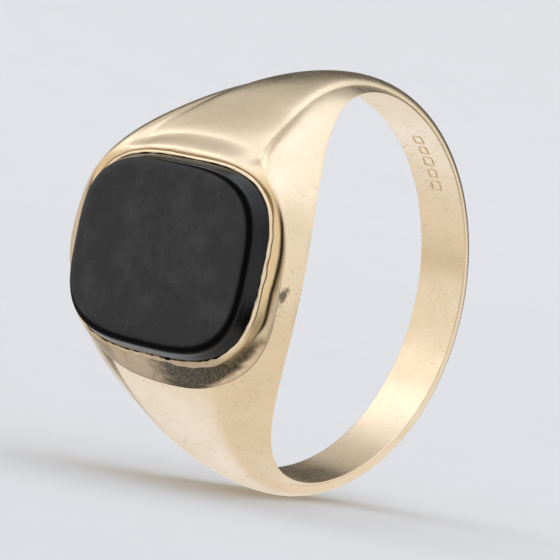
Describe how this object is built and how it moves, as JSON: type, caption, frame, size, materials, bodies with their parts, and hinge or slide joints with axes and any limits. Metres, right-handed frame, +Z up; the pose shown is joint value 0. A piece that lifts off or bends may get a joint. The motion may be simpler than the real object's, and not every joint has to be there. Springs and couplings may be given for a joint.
{
  "type": "signet ring",
  "caption": "Signet ring with a flat cushion stone in a rubbed-over collet, shoulders with creased cheeks and a tapering D-section shank.",
  "frame": {"origin": "centre of the finger hole", "axes": "+X along the finger hole, -Y out through the middle of the stone, +Z up across the ring"},
  "size_m": [0.0152, 0.0229, 0.0214],
  "materials": {
    "polished_gold": "worn polish on pale 9 carat gold",
    "collet_gold": "worn polish with tarnish in the corners",
    "inner_gold": "satin, as left by the file",
    "cement": "dull jeweller's cement",
    "onyx": "black onyx, matt on the table and polished on the edge"
  },
  "bodies": {
    "root": {"ring_body": "polished_gold", "bezel_collet": "collet_gold", "stone_bearer": "inner_gold", "cement_bed": "cement", "onyx_stone": "onyx", "gallery_plate": "inner_gold"}
  },
  "joints": []
}
